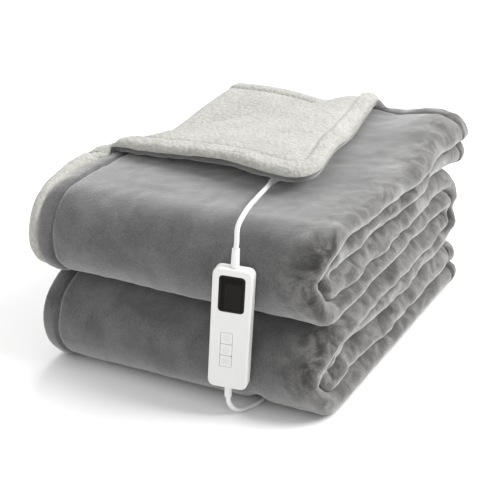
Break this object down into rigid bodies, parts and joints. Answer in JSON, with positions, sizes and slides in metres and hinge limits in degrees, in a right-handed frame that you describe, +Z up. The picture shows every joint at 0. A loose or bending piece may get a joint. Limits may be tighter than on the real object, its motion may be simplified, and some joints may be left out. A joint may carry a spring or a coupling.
{
  "type": "heated throw",
  "caption": "Folded electric heated throw with grey plush face, cream sherpa lining, a turned-back corner over its socket, a corded hand control with display and keys, and a mains plug.",
  "frame": {"origin": "on the floor, under the middle of the folded pile's outline", "axes": "+X to the right along the front roll, -Y towards the front where the hand control hangs, +Z up"},
  "size_m": [0.3337, 0.5274, 0.2277],
  "materials": {
    "grey_plush": "micro-plush pile",
    "cream_sherpa": "curly sherpa pile",
    "nonwoven": "plain nonwoven",
    "heating_wire": "insulated wire",
    "white_plastic": "fine satin moulding",
    "white_cord": "smooth flexible sheath",
    "dark_glass": "dark smoked window",
    "board_green": "solder mask",
    "black_plastic": "moulded",
    "steel": "plated screw",
    "brass": "plain",
    "fuse_ceramic": "ceramic and film bodies"
  },
  "bodies": {
    "throw": {"plush_face": "grey_plush", "sherpa_lining": "cream_sherpa", "heating_carrier": "nonwoven", "heating_wire": "heating_wire", "socket_housing": "white_plastic", "socket_pin_left": "brass", "socket_pin_middle": "brass", "socket_pin_right": "brass"},
    "control_lead": {"connector_shell": "white_plastic", "connector_boot": "white_cord", "output_cord": "white_cord", "output_cord_grip": "white_cord", "supply_cord_grip": "white_cord", "front_case": "white_plastic", "back_case": "white_plastic", "case_screw_upper_left": "steel", "case_screw_upper_right": "steel", "case_screw_lower_left": "steel", "case_screw_lower_right": "steel", "display_window": "dark_glass", "display_module": "black_plastic", "circuit_board": "board_green", "heat_relay": "black_plastic", "supply_capacitor": "fuse_ceramic", "line_fuse": "fuse_ceramic", "heat_triac": "black_plastic", "timer_switch": "black_plastic", "power_switch": "black_plastic", "heat_switch": "black_plastic", "mains_lead": "white_cord", "mains_coil": "white_cord", "coil_tie": "black_plastic", "plug_tail": "white_cord", "plug_boot": "white_cord", "plug_body": "white_plastic", "earth_pin": "brass", "line_pin": "brass", "neutral_pin": "brass", "fuse_carrier": "white_plastic", "plug_fuse": "fuse_ceramic"},
    "timer_button": {"timer_key": "white_plastic"},
    "power_button": {"power_key": "white_plastic"},
    "heat_button": {"heat_key": "white_plastic"}
  },
  "joints": [
    {"name": "connector_pull", "type": "slide", "parent": "throw", "child": "control_lead", "axis": [0, -1, 0], "range_m": [0, 0.013]},
    {"name": "timer_press", "type": "slide", "parent": "control_lead", "child": "timer_button", "axis": [-0.2079, 0.9781, 0], "range_m": [0, 0.0006], "stiffness_N_per_m": 900, "springref_m": -0.002},
    {"name": "power_press", "type": "slide", "parent": "control_lead", "child": "power_button", "axis": [-0.2079, 0.9781, 0], "range_m": [0, 0.0006], "stiffness_N_per_m": 900, "springref_m": -0.002},
    {"name": "heat_press", "type": "slide", "parent": "control_lead", "child": "heat_button", "axis": [-0.2079, 0.9781, 0], "range_m": [0, 0.0006], "stiffness_N_per_m": 900, "springref_m": -0.002}
  ]
}
